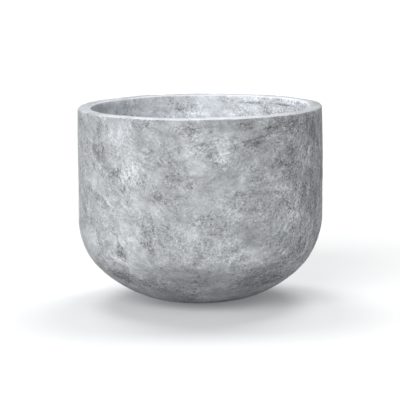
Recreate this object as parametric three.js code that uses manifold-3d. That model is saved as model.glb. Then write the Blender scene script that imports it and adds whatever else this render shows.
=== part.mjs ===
// Concrete bowl planter: one cast shell with a flat rim, upright walls and a rounded base, standing
// on four rubber pads. A plastic sleeve lines the drain hole in its floor, and a rubber plug closes
// it and lifts out upwards. Millimetres, +Z up. The origin is on the ground under the bowl's centre.

import * as THREE from "three";
import { mergeVertices } from "three/addons/utils/BufferGeometryUtils.js";
import Module from "manifold-3d";

const wasm = await Module();
wasm.setup();

// ---- Driving dimensions ----

// Outside of the bowl
const RIM_RADIUS = 250; // outside of the rim and of the upright wall
const HEIGHT = 400; // ground to the top of the rim
const CURVE_HEIGHT = 170; // of the rounded part, from the underside to where the wall is upright
const FOOT_RADIUS = 70; // of the flat underside
const HAUNCH_ANGLE = degrees(43); // how far the upper arc of the rounded part turns inwards
const FOOT_TILT = degrees(7); // slope of the lower arc where it meets the flat underside

// Thickness and edges of the casting
const WALL = 28;
const FLOOR_EXTRA = 10; // how much thicker than the wall the flat inner floor is
const RIM_ROUND = 4; // radius along both edges of the rim

// Rubber plug, a tapered stem under a flat head with a grip to pull it by
const STEM_RADIUS = 14; // under the head
const STEM_TAPER = 2; // how much smaller its radius is at the tip
const STEM_TIP_ROUND = 1.5;
const HEAD_OVERLAP = 6; // how far the head reaches past the stem
const HEAD_THICKNESS = 3.5;
const GRIP_HEIGHT = 9;
const GRIP_LENGTH = 24;
const GRIP_THICKNESS = 5;
const GRIP_CORNER = 7;

// Plastic sleeve, a tube cast into the floor with a flange that the plug's head seats on
const SLEEVE_WALL = 3;
const FINGER_ROOM = 14; // from the plug's head out to the flange's edge
const FLANGE_THICKNESS = 3;
const SLEEVE_SETBACK = 1; // from the underside up to the tube's lower end
const STEM_SETBACK = 2; // from the tube's lower end up to the stem's tip

// Recess in the inner floor, which holds the flange, with the plug below the floor's level
const GRIP_COVER = 2; // from the top of the grip up to the inner floor

// Foot pads, bonded into shallow pockets in the underside
const PAD_COUNT = 4;
const PAD_RADIUS = 12;
const PAD_PROUD = 3; // how far a pad holds the underside above the ground
const PAD_INSET = 2; // how deep a pad sits in its pocket
const PAD_CHAMFER = 1;
const PAD_MARGIN = 8; // between a pad and the edge of the flat underside
const FIRST_PAD_ANGLE = degrees(45);

// Fits
const BOND_GAP = 0.3; // glue line, or the bedding of a cast-in piece
const SEAT_GAP = 0.3; // between the plug and the sleeve

// Fineness of the round surfaces
const BOWL_SIDES = 80;
const FITTING_SIDES = 40;
const PAD_SIDES = 32;
const LONG_ARC_STEPS = 9;
const SHORT_ARC_STEPS = 3;

// ---- Heights and radii that follow ----

const HEAD_RADIUS = STEM_RADIUS + HEAD_OVERLAP;
const FLANGE_RADIUS = HEAD_RADIUS + FINGER_ROOM;
const RECESS_RADIUS = FLANGE_RADIUS + BOND_GAP;
const SLEEVE_RADIUS = STEM_RADIUS + SEAT_GAP + SLEEVE_WALL;
const DRAIN_HOLE_RADIUS = SLEEVE_RADIUS + BOND_GAP;

// From the ground up to the inner floor, and from there down through the drain
const UNDERSIDE_Z = PAD_PROUD;
const INNER_FLOOR_Z = UNDERSIDE_Z + WALL + FLOOR_EXTRA;
const HEAD_TOP_Z = INNER_FLOOR_Z - GRIP_COVER - GRIP_HEIGHT;
const HEAD_BOTTOM_Z = HEAD_TOP_Z - HEAD_THICKNESS;
const FLANGE_TOP_Z = HEAD_BOTTOM_Z - SEAT_GAP;
const FLANGE_BOTTOM_Z = FLANGE_TOP_Z - FLANGE_THICKNESS;
const RECESS_FLOOR_Z = FLANGE_BOTTOM_Z - BOND_GAP;
const SLEEVE_BOTTOM_Z = UNDERSIDE_Z + SLEEVE_SETBACK;
const STEM_TIP_Z = SLEEVE_BOTTOM_Z + STEM_SETBACK;

const POCKET_RADIUS = PAD_RADIUS + BOND_GAP;
const POCKET_DEPTH = PAD_INSET + BOND_GAP;
const PAD_CIRCLE_RADIUS = FOOT_RADIUS - PAD_MARGIN - PAD_RADIUS;

// ---- Shared geometry ----

function degrees(angle) {
  return THREE.MathUtils.degToRad(angle);
}

// Points [radius, height] along an arc in the outline's plane, both ends included.
function arc([centreRadius, centreHeight], radius, from, to, steps) {
  return Array.from({ length: steps + 1 }, (_, i) => {
    const angle = from + ((to - from) * i) / steps;
    return [centreRadius + radius * Math.cos(angle), centreHeight + radius * Math.sin(angle)];
  });
}

// A body of revolution about +Z from an outline of [radius, height] points, given anticlockwise.
function turned(outline, sides) {
  const points = outline.map(([radius, height]) => new THREE.Vector2(radius, height));
  return new THREE.LatheGeometry(points, sides).rotateX(Math.PI / 2);
}

// A ring's outline closes on itself.
function closed(outline) {
  return [...outline, outline[0]];
}

function solidOf(geometry) {
  const bare = geometry.clone();
  bare.deleteAttribute("normal");
  bare.deleteAttribute("uv");
  const merged = mergeVertices(bare, 1e-4);
  return new wasm.Manifold(
    new wasm.Mesh({
      numProp: 3,
      vertProperties: merged.attributes.position.array,
      triVerts: new Uint32Array(merged.index.array),
    }),
  );
}

function geometryOf(solid) {
  const { vertProperties, triVerts } = solid.getMesh();
  const geometry = new THREE.BufferGeometry();
  geometry.setAttribute("position", new THREE.BufferAttribute(vertProperties, 3));
  geometry.setIndex(new THREE.BufferAttribute(triVerts, 1));
  geometry.computeVertexNormals();
  return geometry;
}

// ---- Materials ----

const concrete = new THREE.MeshStandardMaterial({ color: 0xa7a9ac, roughness: 0.85, metalness: 0 });
const rubber = new THREE.MeshStandardMaterial({ color: 0x26282a, roughness: 0.7, metalness: 0 });
const greyPlastic = new THREE.MeshStandardMaterial({ color: 0x7b8084, roughness: 0.45, metalness: 0 });

function piece(name, geometry, material) {
  const mesh = new THREE.Mesh(geometry, material);
  mesh.name = name;
  return mesh;
}

// ---- Bowl shell ----

// The rounded part of the outside is two arcs with a common tangent at HAUNCH_ANGLE. The upper one
// starts upright at the wall and the lower one ends on the foot's edge, FOOT_TILT off level, which
// gives two equations, one across and one up, for the two radii.
function roundedPart() {
  const across = RIM_RADIUS - FOOT_RADIUS;
  const upperAcross = 1 - Math.cos(HAUNCH_ANGLE);
  const lowerAcross = Math.cos(HAUNCH_ANGLE) - Math.sin(FOOT_TILT);
  const upperUp = Math.sin(HAUNCH_ANGLE);
  const lowerUp = Math.cos(FOOT_TILT) - Math.sin(HAUNCH_ANGLE);
  const determinant = upperAcross * lowerUp - lowerAcross * upperUp;
  const upperRadius = (across * lowerUp - lowerAcross * CURVE_HEIGHT) / determinant;
  const lowerRadius = (upperAcross * CURVE_HEIGHT - upperUp * across) / determinant;
  return {
    upper: { radius: upperRadius, centre: [RIM_RADIUS - upperRadius, UNDERSIDE_Z + CURVE_HEIGHT] },
    lower: {
      radius: lowerRadius,
      centre: [
        FOOT_RADIUS - lowerRadius * Math.sin(FOOT_TILT),
        UNDERSIDE_Z + lowerRadius * Math.cos(FOOT_TILT),
      ],
    },
  };
}

// Half the bowl's section, from the drain hole out along the underside, up the outside, over the
// rim, down the inside and back across the floor to the recess. The inside keeps the outside's arc
// centres, so the wall is WALL thick all the way round, and the flat floor cuts its lower arc.
function bowlOutline() {
  const { upper, lower } = roundedPart();
  const quarter = Math.PI / 2;
  const floorAngle = Math.asin((lower.centre[1] - INNER_FLOOR_Z) / (lower.radius - WALL));
  const outsideEdge = [RIM_RADIUS - RIM_ROUND, HEIGHT - RIM_ROUND];
  const insideEdge = [RIM_RADIUS - WALL + RIM_ROUND, HEIGHT - RIM_ROUND];
  return closed([
    [DRAIN_HOLE_RADIUS, UNDERSIDE_Z],
    ...arc(lower.centre, lower.radius, FOOT_TILT - quarter, -HAUNCH_ANGLE, LONG_ARC_STEPS),
    ...arc(upper.centre, upper.radius, -HAUNCH_ANGLE, 0, LONG_ARC_STEPS).slice(1),
    ...arc(outsideEdge, RIM_ROUND, 0, quarter, SHORT_ARC_STEPS),
    ...arc(insideEdge, RIM_ROUND, quarter, 2 * quarter, SHORT_ARC_STEPS),
    ...arc(upper.centre, upper.radius - WALL, 0, -HAUNCH_ANGLE, LONG_ARC_STEPS),
    ...arc(lower.centre, lower.radius - WALL, -HAUNCH_ANGLE, -floorAngle, LONG_ARC_STEPS).slice(1),
    [RECESS_RADIUS, INNER_FLOOR_Z],
    [RECESS_RADIUS, RECESS_FLOOR_Z],
    [DRAIN_HOLE_RADIUS, RECESS_FLOOR_Z],
  ]);
}

function padAngle(index) {
  return FIRST_PAD_ANGLE + (2 * Math.PI * index) / PAD_COUNT;
}

// A pocket's cutter starts as far below the underside as the pocket is deep.
function pocketCutter(index) {
  const cutter = new THREE.CylinderGeometry(
    POCKET_RADIUS,
    POCKET_RADIUS,
    2 * POCKET_DEPTH,
    PAD_SIDES,
  ).rotateX(Math.PI / 2);
  const angle = padAngle(index);
  cutter.translate(
    PAD_CIRCLE_RADIUS * Math.cos(angle),
    PAD_CIRCLE_RADIUS * Math.sin(angle),
    UNDERSIDE_Z,
  );
  return solidOf(cutter);
}

function bowlShell() {
  let casting = solidOf(turned(bowlOutline(), BOWL_SIDES));
  for (let index = 0; index < PAD_COUNT; index++) {
    casting = casting.subtract(pocketCutter(index));
  }
  return piece("bowl_shell", geometryOf(casting), concrete);
}

// ---- Drain ----

// The stem's radius at a height, so that the sleeve's bore keeps SEAT_GAP all the way down.
function stemRadius(height) {
  return STEM_RADIUS - (STEM_TAPER * (HEAD_BOTTOM_Z - height)) / (HEAD_BOTTOM_Z - STEM_TIP_Z);
}

function drainSleeve() {
  const outline = closed([
    [stemRadius(SLEEVE_BOTTOM_Z) + SEAT_GAP, SLEEVE_BOTTOM_Z],
    [SLEEVE_RADIUS, SLEEVE_BOTTOM_Z],
    [SLEEVE_RADIUS, FLANGE_BOTTOM_Z],
    [FLANGE_RADIUS, FLANGE_BOTTOM_Z],
    [FLANGE_RADIUS, FLANGE_TOP_Z],
    [stemRadius(FLANGE_TOP_Z) + SEAT_GAP, FLANGE_TOP_Z],
  ]);
  return piece("drain_sleeve", turned(outline, FITTING_SIDES), greyPlastic);
}

// The grip is an upright tab with rounded top corners, rooted halfway down in the head.
function plugGrip() {
  const half = GRIP_LENGTH / 2;
  const root = -HEAD_THICKNESS / 2;
  const side = new THREE.Shape();
  side.moveTo(-half, root);
  side.lineTo(half, root);
  side.absarc(half - GRIP_CORNER, GRIP_HEIGHT - GRIP_CORNER, GRIP_CORNER, 0, Math.PI / 2);
  side.absarc(GRIP_CORNER - half, GRIP_HEIGHT - GRIP_CORNER, GRIP_CORNER, Math.PI / 2, Math.PI);
  side.closePath();
  return new THREE.ExtrudeGeometry(side, {
    depth: GRIP_THICKNESS,
    bevelEnabled: false,
    curveSegments: 2 * SHORT_ARC_STEPS,
  })
    .translate(0, 0, -GRIP_THICKNESS / 2)
    .rotateX(Math.PI / 2)
    .translate(0, 0, HEAD_TOP_Z);
}

function drainPlug() {
  const tipEdge = [STEM_RADIUS - STEM_TAPER - STEM_TIP_ROUND, STEM_TIP_Z + STEM_TIP_ROUND];
  const outline = [
    [0, STEM_TIP_Z],
    ...arc(tipEdge, STEM_TIP_ROUND, -Math.PI / 2, 0, SHORT_ARC_STEPS),
    [STEM_RADIUS, HEAD_BOTTOM_Z],
    [HEAD_RADIUS, HEAD_BOTTOM_Z],
    [HEAD_RADIUS, HEAD_TOP_Z],
    [0, HEAD_TOP_Z],
  ];
  const body = solidOf(turned(outline, FITTING_SIDES));
  return piece("drain_plug", geometryOf(body.add(solidOf(plugGrip()))), rubber);
}

// ---- Foot pads ----

function footPad(index) {
  const outline = [
    [0, 0],
    [PAD_RADIUS - PAD_CHAMFER, 0],
    [PAD_RADIUS, PAD_CHAMFER],
    [PAD_RADIUS, PAD_PROUD + PAD_INSET],
    [0, PAD_PROUD + PAD_INSET],
  ];
  const pad = piece(`foot_pad_${index + 1}`, turned(outline, PAD_SIDES), rubber);
  const angle = padAngle(index);
  pad.position.set(PAD_CIRCLE_RADIUS * Math.cos(angle), PAD_CIRCLE_RADIUS * Math.sin(angle), 0);
  return pad;
}

// ---- Assembly ----

const planter = new THREE.Group();
planter.name = "bowl_planter";
planter.add(bowlShell(), drainSleeve(), drainPlug());
for (let index = 0; index < PAD_COUNT; index++) {
  planter.add(footPad(index));
}

export default planter;
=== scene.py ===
"""The looks of a concrete bowl planter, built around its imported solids.

Every piece is a surface worked out with numpy in the solids' own frame, in metres, +Z up, with the
viewer of the photograph on -Y. The sizes and colours that a user would change are properties in
the sidebar, and each piece or group of like pieces has an operator of its own.
"""

import math

import bmesh
import bpy
import numpy as np
from mathutils import Matrix, Vector
from mathutils.geometry import delaunay_2d_cdt


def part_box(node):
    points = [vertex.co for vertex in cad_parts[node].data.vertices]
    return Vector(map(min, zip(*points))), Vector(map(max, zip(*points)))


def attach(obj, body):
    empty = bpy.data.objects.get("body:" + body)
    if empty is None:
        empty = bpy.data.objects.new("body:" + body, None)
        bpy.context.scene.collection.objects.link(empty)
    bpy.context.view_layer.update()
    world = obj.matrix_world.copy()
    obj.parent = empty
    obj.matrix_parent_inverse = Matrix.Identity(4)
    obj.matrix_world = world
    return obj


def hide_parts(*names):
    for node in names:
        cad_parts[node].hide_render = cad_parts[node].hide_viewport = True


bl_info = {
    "name": "Concrete Bowl Planter",
    "version": (1, 0, 0),
    "blender": (4, 5, 0),
    "location": "3D View > Sidebar > Planter",
    "description": "Dresses the solids of a cast concrete bowl planter, with its drain and foot pads",
    "category": "Object",
}

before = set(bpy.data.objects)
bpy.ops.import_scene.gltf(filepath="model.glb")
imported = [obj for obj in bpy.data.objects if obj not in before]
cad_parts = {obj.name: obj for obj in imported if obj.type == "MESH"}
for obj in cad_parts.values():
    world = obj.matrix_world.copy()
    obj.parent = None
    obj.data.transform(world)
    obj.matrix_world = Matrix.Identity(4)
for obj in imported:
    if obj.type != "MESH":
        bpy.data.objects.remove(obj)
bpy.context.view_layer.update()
SHELL_LOW, SHELL_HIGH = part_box("bowl_shell")
SLEEVE_LOW, SLEEVE_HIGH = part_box("drain_sleeve")
PLUG_LOW, PLUG_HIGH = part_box("drain_plug")
PADS = [name for name in sorted(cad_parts) if name.startswith("foot_pad_")]
PAD_LOW, PAD_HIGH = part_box(PADS[0])

FRAME_PIXELS = 400  # side of the square picture


# ---- Sizes and colours ----


def length(name, description, default):
    """A size in metres that the sidebar shows."""
    return bpy.props.FloatProperty(
        name=name, description=description, default=default, unit="LENGTH", precision=4
    )


def angle(name, description, degrees):
    """An angle that is given in degrees and kept in radians."""
    return bpy.props.FloatProperty(
        name=name, description=description, default=math.radians(degrees), subtype="ANGLE"
    )


def share(name, description, default):
    """A plain number, such as a strength or a roughness."""
    return bpy.props.FloatProperty(name=name, description=description, default=default)


def colour(name, description, grey, tint=(1.0, 1.0, 1.0)):
    """A colour given as a linear grey level and how each channel departs from it."""
    return bpy.props.FloatVectorProperty(
        name=name,
        description=description,
        default=tuple(grey * part for part in tint),
        size=3,
        subtype="COLOR",
        min=0.0,
        max=1.0,
    )


COOL = (0.955, 0.99, 1.035)
GREEN = (0.99, 1.02, 0.90)


class BowlShape(bpy.types.PropertyGroup):
    """The casting: its outline, its thickness and how uneven its hand-made surface is."""

    radius: length("Radius", "Outside of the upright wall", SHELL_HIGH.x)
    top: length("Rim Height", "Ground to the top of the rim", SHELL_HIGH.z)
    bottom: length("Underside Height", "Ground to the flat underside", SHELL_LOW.z)
    wall: length("Wall", "Thickness of the wall", 0.028)
    floor_extra: length("Extra Floor", "How much thicker than the wall the inner floor is", 0.010)
    rim_round: length("Rim Rounding", "Radius along both edges of the rim", 0.004)
    curve_height: length("Curve Height", "Underside to where the wall is upright", 0.170)
    foot_radius: length("Foot Radius", "Radius of the flat underside", 0.070)
    haunch: angle("Haunch Angle", "How far the upper arc turns inwards", 43.0)
    foot_tilt: angle("Foot Tilt", "Slope of the lower arc at the flat underside", 7.0)
    sway: length("Sway", "Height of the wall's long undulations", 0.0005)
    lopsided: length("Lopsided", "How far the rounded part leans to the viewer's left", 0.0025)
    tooling: length("Tooling", "Height of the marks left by hand tools", 0.00012)
    edge_wear: length("Edge Band", "How deep the rim's edges are worn in places", 0.0009)


class FittingShape(bpy.types.PropertyGroup):
    """The plug, the sleeve round it and the foot pads."""

    stem_radius: length("Stem Radius", "Plug's stem under its head", 0.014)
    stem_taper: length("Stem Taper", "How much smaller the stem is at its tip", 0.002)
    head_thickness: length("Head Thickness", "Plug's head, without the grip", 0.0035)
    grip_height: length("Grip Height", "Grip above the plug's head", 0.009)
    grip_length: length("Grip Length", "Length of the grip", 0.024)
    grip_thickness: length("Grip Thickness", "Thickness of the grip", 0.005)
    grip_corner: length("Grip Corner", "Radius of the grip's upper corners", 0.007)
    sleeve_wall: length("Sleeve Wall", "Thickness of the sleeve's tube", 0.003)
    flange_thickness: length("Flange Thickness", "Thickness of the sleeve's flange", 0.003)
    seat_gap: length("Seat Gap", "Room between plug and sleeve", 0.0003)
    bond_gap: length("Bond Gap", "Bedding round the cast-in pieces", 0.0003)
    edge_round: length("Edge Rounding", "Radius along the edges of the moulded pieces", 0.0006)


class ConcreteLook(bpy.types.PropertyGroup):
    """Colours of the concrete, and the sizes and strengths of the patterns in it."""

    pale: colour("Pale Cement", "Clouds of pale cement", 0.52, COOL)
    middle: colour("Middle Cement", "The cement between the clouds", 0.40, COOL)
    # Besides dense cement, this colour is laid as painted shade: under the rim inside, on the rim's
    # right side, low on the base's right, and in more dark specks towards the right.
    dark: colour("Dark Cement", "Blotches where the cement is dense", 0.17, COOL)
    # Besides pale coats, this colour is laid as painted light: painted highlight on the rim's edges,
    # a paler inside, and pale patches at the top of the inner wall at the back right.
    wash_and_light: colour("Pale Wash", "Lime brushed over the surface", 0.76, COOL)
    moss: colour("Faint Green", "Specks of a faint green tint", 0.32, GREEN)
    cloud_size: length("Cloud Size", "Size of the large clouds", 0.11)
    blotch_size: length("Blotch Size", "Size of the dark blotches", 0.045)
    mottle_size: length("Mottle Size", "Largest size in the mottling", 0.040)
    stroke_patch: length("Stroke Patch", "Size of a patch of strokes in one direction", 0.045)
    stroke_width: length("Stroke Width", "Width of a brush stroke", 0.0038)
    stroke_length: length("Stroke Length", "Length of a brush stroke", 0.026)
    curl_size: length("Curl Size", "Size of the curled strokes", 0.016)
    grain_size: length("Grain Size", "Size of the fine grain", 0.0042)
    mottle: share("Mottling", "Strength of the mottling", 1.38)
    marks: share("Brush Marks", "How far the strokes change the tone", 0.75)
    pale_strokes: share("Pale Strokes", "Strength of the pale strokes", 0.45)
    dark_strokes: share("Dark Strokes", "Strength of the dark strokes", 0.60)
    curls: share("Curls", "Strength of the curled strokes", 0.20)
    grain: share("Grain", "Strength of the fine grain", 1.3)
    blotches: share("Blotches", "Strength of the dark blotches", 0.7)
    # Partly painted light: besides a pale coat, this makes the inside paler than the outside.
    inside_wash_and_light: share("Inside Wash", "How pale the inside is washed", 0.75)
    rim_wash: share("Rim Wash", "How pale the front of the rim is washed", 0.50)
    # This darkens the rim's outer edge along its far side, and the rim's right side as painted shade.
    rim_darkening: share("Rim Stain", "How dark the far and the right side of the rim are stained", 0.5)
    # The pale rim edges are partly wear and partly painted highlight.
    edge_wash_and_highlight: share("Edge Wash", "How pale the rim's edges are washed", 0.85)


class FittingLook(bpy.types.PropertyGroup):
    """Colours of the rubber and plastic pieces."""

    rubber: colour("Rubber", "Plug and foot pads", 0.022)
    plastic: colour("Plastic", "Sleeve that lines the drain", 0.16, COOL)
    dust: colour("Dust", "Cement dust on the fittings", 0.42)


class StageLook(bpy.types.PropertyGroup):
    """The floor, the light and the camera."""

    floor: share("Floor Colour", "How pale the floor looks", 0.67)
    floor_bounce: share("Floor Bounce", "How pale the floor is to the light that it gives back", 0.48)
    floor_glow: share("Floor Glow", "What the camera sees of the floor without any light", 0.18)
    sky: share("Sky", "Strength of the even light from all round", 0.27)
    rear: share("Rear Lights", "Strength of each of the two soft lights from above and behind", 1.3)
    key: share("Key", "Strength of the soft light from the left front", 2.45)
    distance: length("Camera Distance", "From the bowl's axis to the camera, on the level", 4.5)
    rise: share("Camera Rise", "Height above the rim as a share of the distance", 0.1056)
    pitch: angle("Camera Pitch", "How far the camera looks down", 8.468)
    roll: angle("Camera Roll", "How far the right side of the picture goes up", 0.65)
    aside: length("Camera Aside", "How far the camera stands to the left of the middle", 0.0014)
    pixels_per_metre: share("Scale", "Pixels of the picture per metre at the bowl's axis", 491.5)


# ---- Outlines ----
#
# An outline is an array of points (radius, height). Its right-hand side is the outside.

SAME_POINT = 1e-7  # points that are closer than this are one
CORNER_STEPS = 4  # along a rounded corner


def arc(centre, radius, start, stop, steps):
    """Points on a circle: centre + radius * (cos a, sin a), with a from start to stop."""
    a = np.linspace(start, stop, steps + 1)
    return np.column_stack([centre[0] + radius * np.cos(a), centre[1] + radius * np.sin(a)])


def even_arc(centre, radius, start, stop, step):
    """An arc whose points are about step apart."""
    return arc(centre, radius, start, stop, round(radius * abs(stop - start) / step))


def line(start, stop, step):
    """Evenly spaced points from start to stop, about step apart, both ends included."""
    start, stop = np.asarray(start, float), np.asarray(stop, float)
    count = max(1, round(float(np.linalg.norm(stop - start)) / step))
    return start + np.linspace(0, 1, count + 1)[:, None] * (stop - start)


def join_outline(*stretches):
    """One outline from stretches that meet end to end, each shared point kept once."""
    points = np.vstack(stretches)
    apart = np.linalg.norm(np.diff(points, axis=0), axis=1) > SAME_POINT
    return points[np.concatenate([[True], apart])]


def rounded_outline(corners, rounding, step, closed=False):
    """An outline through corners, each but the open ends rounded by a tangent arc.

    The arc's centre is on the corner's bisector, rounding / sin(half angle) from the corner, and
    it touches the sides rounding / tan(half angle) from it."""
    corners = np.asarray(corners, float)
    before, after = np.roll(corners, 1, axis=0), np.roll(corners, -1, axis=0)
    stretches = []
    for corner, back, ahead in zip(corners, before, after):
        to_back = (back - corner) / np.linalg.norm(back - corner)
        to_ahead = (ahead - corner) / np.linalg.norm(ahead - corner)
        half = math.acos(float(np.clip(to_back @ to_ahead, -1, 1))) / 2
        bisector = (to_back + to_ahead) / np.linalg.norm(to_back + to_ahead)
        centre = corner + bisector * rounding / math.sin(half)
        first = corner + to_back * rounding / math.tan(half) - centre
        last = corner + to_ahead * rounding / math.tan(half) - centre
        start = math.atan2(first[1], first[0])
        turn = (math.atan2(last[1], last[0]) - start + math.pi) % (2 * math.pi) - math.pi
        stretches.append(arc(centre, rounding, start, start + turn, CORNER_STEPS))
    if closed:
        stretches.append(stretches[0][:1])
    else:
        stretches[0], stretches[-1] = corners[:1], corners[-1:]
    pieces = []
    for this, following in zip(stretches, stretches[1:]):
        pieces += [this, line(this[-1], following[0], step)]
    return join_outline(*pieces, stretches[-1])


def outline_normals(points):
    """Normals on the right of the way along an outline: the mean of the two sides' normals."""
    ahead = np.diff(points, axis=0, append=points[-1:] * 2 - points[-2:-1])
    behind = np.diff(points, axis=0, prepend=points[:1] * 2 - points[1:2])
    ahead /= np.linalg.norm(ahead, axis=1)[:, None]
    behind /= np.linalg.norm(behind, axis=1)[:, None]
    along = ahead + behind
    along /= np.linalg.norm(along, axis=1)[:, None]
    return np.column_stack([along[:, 1], -along[:, 0]])


# ---- Surfaces ----

MERGE_DISTANCE = 1e-6
SHARP_ANGLE = math.radians(38)  # edges that turn by more are shown sharp


def turned_points(outline, sides):
    """A surface of revolution: outline point i at turn j is (r_i cos a_j, r_i sin a_j, z_i)."""
    a = np.linspace(0, 2 * math.pi, sides, endpoint=False)
    r, z = outline[:, :1], outline[:, 1:]
    return np.dstack([r * np.cos(a), r * np.sin(a), z + 0 * a])


def strip_faces(rows, sides, first=0):
    """Quads between neighbouring rows of a grid that closes on itself along each row."""
    i, j = np.meshgrid(np.arange(rows - 1), np.arange(sides), indexing="ij")
    k = (j + 1) % sides
    quads = np.stack([i * sides + j, i * sides + k, (i + 1) * sides + k, (i + 1) * sides + j], -1)
    return (first + quads.reshape(-1, 4)).tolist()


def waves(points, longest, shortest, count, seed):
    """Smooth unevenness of about unit height: the sum of count cosines over space, each with a
    random direction, a random phase and a wavelength between longest and shortest."""
    rng = np.random.default_rng(seed)
    direction = rng.normal(size=(count, 3))
    direction /= np.linalg.norm(direction, axis=1)[:, None]
    wavelength = np.exp(rng.uniform(math.log(shortest), math.log(longest), count))
    phase = rng.uniform(0, 2 * math.pi, count)
    total = np.zeros(points.shape[:-1])
    for d, w, p in zip(direction, wavelength, phase):
        total += np.cos(points @ d * (2 * math.pi / w) + p)
    return total * math.sqrt(2 / count)


def mesh_object(name, vertices, faces, material, inside=None):
    """A smooth-shaded mesh object at the origin with its seams merged and its faces outwards.

    inside, where given, is one number per vertex that the material reads as an attribute."""
    mesh = bpy.data.meshes.new(name)
    mesh.from_pydata(np.asarray(vertices, float).reshape(-1, 3).tolist(), [], faces)
    if inside is not None:
        mesh.attributes.new("inside", "FLOAT", "POINT").data.foreach_set("value", inside)
    shape = bmesh.new()
    shape.from_mesh(mesh)
    bmesh.ops.remove_doubles(shape, verts=shape.verts, dist=MERGE_DISTANCE)
    bmesh.ops.recalc_face_normals(shape, faces=shape.faces)
    shape.to_mesh(mesh)
    shape.free()
    mesh.shade_smooth()
    mesh.set_sharp_from_angle(angle=SHARP_ANGLE)
    mesh.materials.append(material)
    piece = bpy.data.objects.new(name, mesh)
    bpy.context.scene.collection.objects.link(piece)
    return piece


def turned_object(name, outline, sides, material, centre=(0.0, 0.0)):
    """A closed body of revolution about the upright through centre. Its outline starts and ends on
    the axis, where each end row shrinks to one point, or it closes on itself."""
    points = turned_points(outline, sides) + (*centre, 0.0)
    return mesh_object(name, points, strip_faces(len(outline), sides), material)


def unite(piece, other):
    """Replaces a piece's mesh by its union with another's, and takes the other away."""
    modifier = piece.modifiers.new("union", "BOOLEAN")
    modifier.operation = "UNION"
    modifier.object = other
    evaluated = piece.evaluated_get(bpy.context.evaluated_depsgraph_get())
    piece.data = bpy.data.meshes.new_from_object(evaluated)
    piece.modifiers.clear()
    bpy.data.objects.remove(other)


# ---- The bowl ----

COLUMNS = 480  # round the bowl
POCKET_SIDES = 48
OUTSIDE_STEP = 0.0042
INSIDE_STEP = 0.008
EDGE_STEPS = 6  # along each rounded edge of the rim
WHOLE_DISC = 0  # the triangulation's output type that fills the holes too
ON_CIRCLE = 1.0001  # a point up to this times the radius from the centre is on the circle

# How uneven the casting is: the wavelengths, how many waves, and the seed of their random draws
SWAY_WAVES = {"longest": 0.30, "shortest": 0.10, "count": 24, "seed": 11}
TOOLING_WAVES = {"longest": 0.045, "shortest": 0.016, "count": 60, "seed": 12}
WEAR_WAVES = {"longest": 0.09, "shortest": 0.012, "count": 60, "seed": 13}
WORN_FROM, WORN_MOST = 0.2, 2.5  # an edge wears where its waves pass the first, up to the second
WEAR_REACH = 1.6  # as a share of the rim's rounding
TRUE_DRAIN = 0.045  # the radius within which the casting stays true
GROWS_OVER = 0.03  # how far off the true parts the unevenness is full
LEAN_MIDDLE, LEAN_SPREAD = 0.6, 0.4  # as shares of the rounded part's height


def rounded_part(shape):
    """Radii and centres of the two tangent arcs of the rounded base.

    The upper arc starts upright at the wall and turns in by the haunch angle, and the lower one
    goes on from there to the foot's edge, which it meets at the foot's tilt. Their spans add up to
    the distance across and to the height, two equations for the two radii."""
    haunch, tilt = shape.haunch, shape.foot_tilt
    spans = [
        [1 - math.cos(haunch), math.cos(haunch) - math.sin(tilt)],
        [math.sin(haunch), math.cos(tilt) - math.sin(haunch)],
    ]
    upper, lower = np.linalg.solve(spans, [shape.radius - shape.foot_radius, shape.curve_height])
    upper_centre = (shape.radius - upper, shape.bottom + shape.curve_height)
    lower_x = shape.foot_radius - lower * math.sin(tilt)
    return upper, upper_centre, lower, (lower_x, shape.bottom + lower * math.cos(tilt))


def recess_size(fittings):
    """Radius and floor height of the drain recess, which the sleeve's flange fills."""
    floor = SLEEVE_HIGH.z - fittings.flange_thickness - fittings.bond_gap
    return SLEEVE_HIGH.x + fittings.bond_gap, floor


def sleeve_radius(fittings):
    """Outside of the sleeve's tube."""
    return fittings.stem_radius + fittings.seat_gap + fittings.sleeve_wall


def drain_hole_radius(fittings):
    """The hole in the casting, round the sleeve's tube."""
    return sleeve_radius(fittings) + fittings.bond_gap


def outside_outline(shape):
    """From the foot's edge up the rounded part and the wall, over the rim's outer edge and across
    its flat top to where the inner edge starts to turn down."""
    upper, upper_centre, lower, lower_centre = rounded_part(shape)
    quarter, edge = math.pi / 2, shape.rim_round
    outer_edge = (shape.radius - edge, shape.top - edge)
    flat_end = (shape.radius - shape.wall + edge, shape.top)
    return join_outline(
        even_arc(lower_centre, lower, shape.foot_tilt - quarter, -shape.haunch, OUTSIDE_STEP),
        even_arc(upper_centre, upper, -shape.haunch, 0, OUTSIDE_STEP),
        line((shape.radius, upper_centre[1]), (shape.radius, outer_edge[1]), OUTSIDE_STEP),
        arc(outer_edge, edge, 0, quarter, EDGE_STEPS),
        line((outer_edge[0], shape.top), flat_end, OUTSIDE_STEP),
    )


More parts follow.
